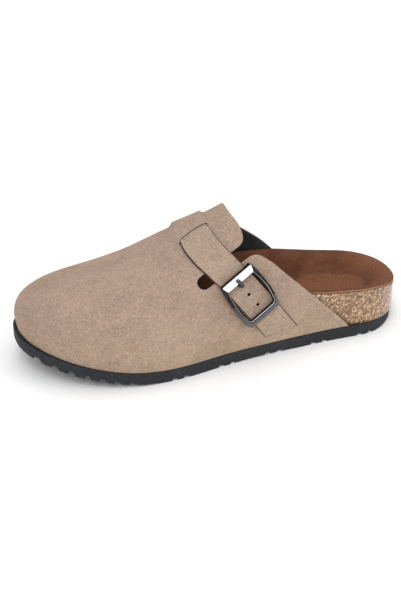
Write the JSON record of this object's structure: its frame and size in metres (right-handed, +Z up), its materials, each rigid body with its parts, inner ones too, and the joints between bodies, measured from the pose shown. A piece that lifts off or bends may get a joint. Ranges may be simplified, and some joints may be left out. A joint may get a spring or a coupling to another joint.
{
  "type": "clog slipper",
  "caption": "Suede clog slipper for the left foot: closed toe, open heel, buckled strap over the instep, moulded cork footbed, flat black sole.",
  "frame": {"origin": "middle of the clog's box, at the floor", "axes": "+X from the toe to the heel, +Y towards the inner side of the foot, +Z up"},
  "size_m": [0.2576, 0.0999, 0.0918],
  "materials": {
    "foam_rubber": "matte black foam rubber",
    "cork": "ground cork in a clear sealing coat",
    "brown_suede": "brown suede with a short nap",
    "taupe_suede": "taupe suede with a short nap",
    "strap_suede": "taupe suede with a short nap",
    "dark_metal": "polished dark metal"
  },
  "bodies": {
    "root": {"outsole": "foam_rubber", "midsole": "cork", "insole": "brown_suede", "upper": "taupe_suede", "strap": "strap_suede", "buckle": "dark_metal", "buckle_prong": "dark_metal"}
  },
  "joints": []
}
